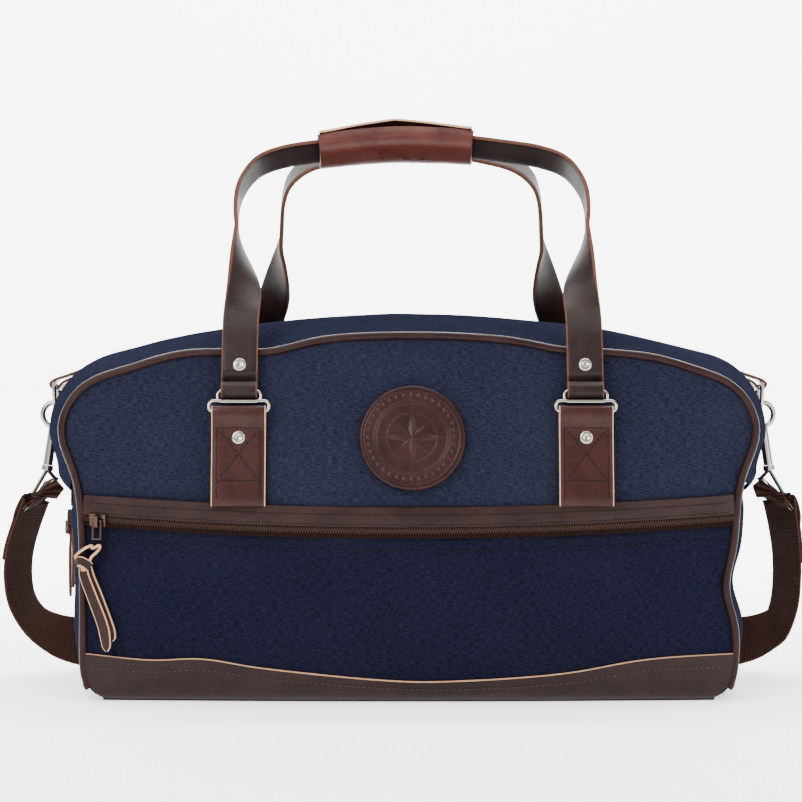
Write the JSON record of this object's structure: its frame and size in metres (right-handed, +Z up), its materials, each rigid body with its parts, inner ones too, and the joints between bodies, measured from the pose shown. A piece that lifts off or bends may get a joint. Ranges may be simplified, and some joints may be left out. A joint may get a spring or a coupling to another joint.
{
  "type": "weekender bag",
  "caption": "Navy canvas weekender bag with a leather base, two round handles, a front zip pocket and a clip-on shoulder strap.",
  "frame": {"origin": "centre of the base where it rests on the floor", "axes": "+X along the bag to the right seen from the front, -Y out of the front, +Z up"},
  "size_m": [0.6236, 0.3325, 0.418],
  "materials": {
    "base_leather": "smooth waxed brown cowhide with a raw tan upper edge",
    "canvas_lower": "waxed cotton canvas, navy, a shade darker",
    "canvas": "waxed cotton canvas, navy, fine weave",
    "piping_leather": "smooth satin",
    "dark_leather": "smooth satin",
    "zip_tape": "brown coil zip on woven tape",
    "patch_leather": "embossed satin",
    "red_leather": "satin with raw tan edges",
    "strap_leather": "satin with raw tan edges",
    "nickel": "polished nickel plate",
    "webbing": "ribbed woven cotton webbing"
  },
  "bodies": {
    "bag": {"base": "base_leather", "pocket_wall": "canvas", "pocket_panel": "canvas_lower", "front_yoke": "canvas", "back_panel": "canvas", "end_panel_left": "canvas", "end_panel_right": "canvas", "top_strip_front": "canvas", "top_strip_back": "canvas", "piping_front": "piping_leather", "piping_back": "piping_leather", "pocket_facing": "dark_leather", "pocket_zip": "zip_tape", "main_zip": "zip_tape", "patch": "patch_leather", "tab_front_left": "red_leather", "tab_front_right": "red_leather", "tab_back_left": "red_leather", "tab_back_right": "red_leather", "tab_rivets": "nickel", "end_tab_left": "dark_leather", "end_tab_right": "dark_leather"},
    "front_loop_left": {"loop_front_left": "nickel"},
    "front_loop_right": {"loop_front_right": "nickel"},
    "back_loop_left": {"loop_back_left": "nickel"},
    "back_loop_right": {"loop_back_right": "nickel"},
    "front_handle": {"strap_front": "strap_leather", "strap_rivets_front": "nickel", "grip_wrap": "red_leather", "snap_studs": "nickel"},
    "back_handle": {"strap_back": "strap_leather", "strap_rivets_back": "nickel"},
    "grip_flap": {"grip_flap": "red_leather", "flap_snaps": "nickel"},
    "d_ring_left": {"d_ring_left": "nickel"},
    "d_ring_right": {"d_ring_right": "nickel"},
    "carry_strap": {"shoulder_strap": "webbing", "swivel_eye_left": "nickel", "swivel_eye_right": "nickel"},
    "hook_left": {"hook_left": "nickel", "gate_pin_left": "nickel"},
    "hook_right": {"hook_right": "nickel", "gate_pin_right": "nickel"},
    "gate_left": {"gate_left": "nickel"},
    "gate_right": {"gate_right": "nickel"},
    "main_slider": {"main_slider": "nickel"},
    "main_bail": {"main_bail": "nickel"},
    "main_thong": {"main_thong": "dark_leather"},
    "pocket_slider": {"pocket_slider": "nickel"},
    "pocket_bail": {"pocket_bail": "nickel"},
    "pocket_thong": {"pocket_thong": "dark_leather"}
  },
  "joints": [
    {"name": "front_loop_left_swing", "type": "hinge", "parent": "bag", "child": "front_loop_left", "pos_m": [-0.1195, -0.1363, 0.2057], "axis": [1, 0, 0], "range_deg": [0, 40]},
    {"name": "front_loop_right_swing", "type": "hinge", "parent": "bag", "child": "front_loop_right", "pos_m": [0.1245, -0.1363, 0.2057], "axis": [1, 0, 0], "range_deg": [0, 40]},
    {"name": "front_handle_swing", "type": "hinge", "parent": "front_loop_left", "child": "front_handle", "pos_m": [-0.1195, -0.13191, 0.22004], "axis": [1, 0, 0], "range_deg": [0, 110]},
    {"name": "back_loop_left_swing", "type": "hinge", "parent": "bag", "child": "back_loop_left", "pos_m": [-0.1195, 0.1363, 0.2057], "axis": [-1, 0, 0], "range_deg": [0, 40]},
    {"name": "back_loop_right_swing", "type": "hinge", "parent": "bag", "child": "back_loop_right", "pos_m": [0.1245, 0.1363, 0.2057], "axis": [-1, 0, 0], "range_deg": [0, 40]},
    {"name": "back_handle_swing", "type": "hinge", "parent": "back_loop_left", "child": "back_handle", "pos_m": [-0.1195, 0.13191, 0.22004], "axis": [-1, 0, 0], "range_deg": [0, 110]},
    {"name": "grip_flap_open", "type": "hinge", "parent": "front_handle", "child": "grip_flap", "pos_m": [0, -0.00066, 0.39974], "axis": [-1, 0, 0], "range_deg": [0, 95]},
    {"name": "shoulder_strap_swing", "type": "hinge", "parent": "bag", "child": "carry_strap", "pos_m": [0, 0.06, 0.214], "axis": [1, 0, 0], "range_deg": [0, 60]},
    {"name": "hook_left_swivel", "type": "hinge", "parent": "carry_strap", "child": "hook_left", "pos_m": [-0.27381, 0.06, 0.20261], "axis": [-0.1478, 0, -0.989], "range_deg": [-8, 8]},
    {"name": "gate_left_open", "type": "hinge", "parent": "hook_left", "child": "gate_left", "pos_m": [-0.26766, 0.06, 0.193], "axis": [0, -1, 0], "range_deg": [0, 12], "stiffness_Nm_per_rad": 0.05, "springref_deg": -11.46},
    {"name": "d_ring_left_rock", "type": "hinge", "parent": "bag", "child": "d_ring_left", "pos_m": [-0.273, 0.06, 0.226], "axis": [0, 1, 0], "range_deg": [-3, 3]},
    {"name": "hook_right_swivel", "type": "hinge", "parent": "carry_strap", "child": "hook_right", "pos_m": [0.27381, 0.06, 0.20261], "axis": [0.1478, 0, -0.989], "range_deg": [-8, 8]},
    {"name": "gate_right_open", "type": "hinge", "parent": "hook_right", "child": "gate_right", "pos_m": [0.26766, 0.06, 0.193], "axis": [0, 1, 0], "range_deg": [0, 12], "stiffness_Nm_per_rad": 0.05, "springref_deg": -11.46},
    {"name": "d_ring_right_rock", "type": "hinge", "parent": "bag", "child": "d_ring_right", "pos_m": [0.273, 0.06, 0.226], "axis": [0, 1, 0], "range_deg": [-3, 3]},
    {"name": "main_slider_travel", "type": "hinge", "parent": "bag", "child": "main_slider", "pos_m": [-0.205, 0, 0.19], "axis": [0, 1, 0], "range_deg": [0, 111]},
    {"name": "main_bail_swing", "type": "hinge", "parent": "main_slider", "child": "main_bail", "pos_m": [-0.2533, 0, 0.14801], "axis": [0, 1, 0], "range_deg": [0, 95]},
    {"name": "main_thong_swing", "type": "hinge", "parent": "main_bail", "child": "main_thong", "pos_m": [-0.2533, 0, 0.13501], "axis": [0, 1, 0], "range_deg": [0, 20]},
    {"name": "pocket_slider_travel", "type": "hinge", "parent": "bag", "child": "pocket_slider", "pos_m": [0, 0.66869, 0.32655], "axis": [0, -0.2425, 0.9701], "range_deg": [0, 30.2]},
    {"name": "pocket_bail_swing", "type": "hinge", "parent": "pocket_slider", "child": "pocket_bail", "pos_m": [-0.2206, -0.12447, 0.12826], "axis": [-0.9655, 0.2605, 0], "range_deg": [0, 150]},
    {"name": "pocket_thong_swing", "type": "hinge", "parent": "pocket_bail", "child": "pocket_thong", "pos_m": [-0.2206, -0.12447, 0.11526], "axis": [-0.9655, 0.2605, 0], "range_deg": [0, 30]}
  ],
  "couplings": [
    {"joint": "front_loop_right_swing", "follows": "front_loop_left_swing", "ratio": 1},
    {"joint": "back_loop_right_swing", "follows": "back_loop_left_swing", "ratio": 1}
  ]
}
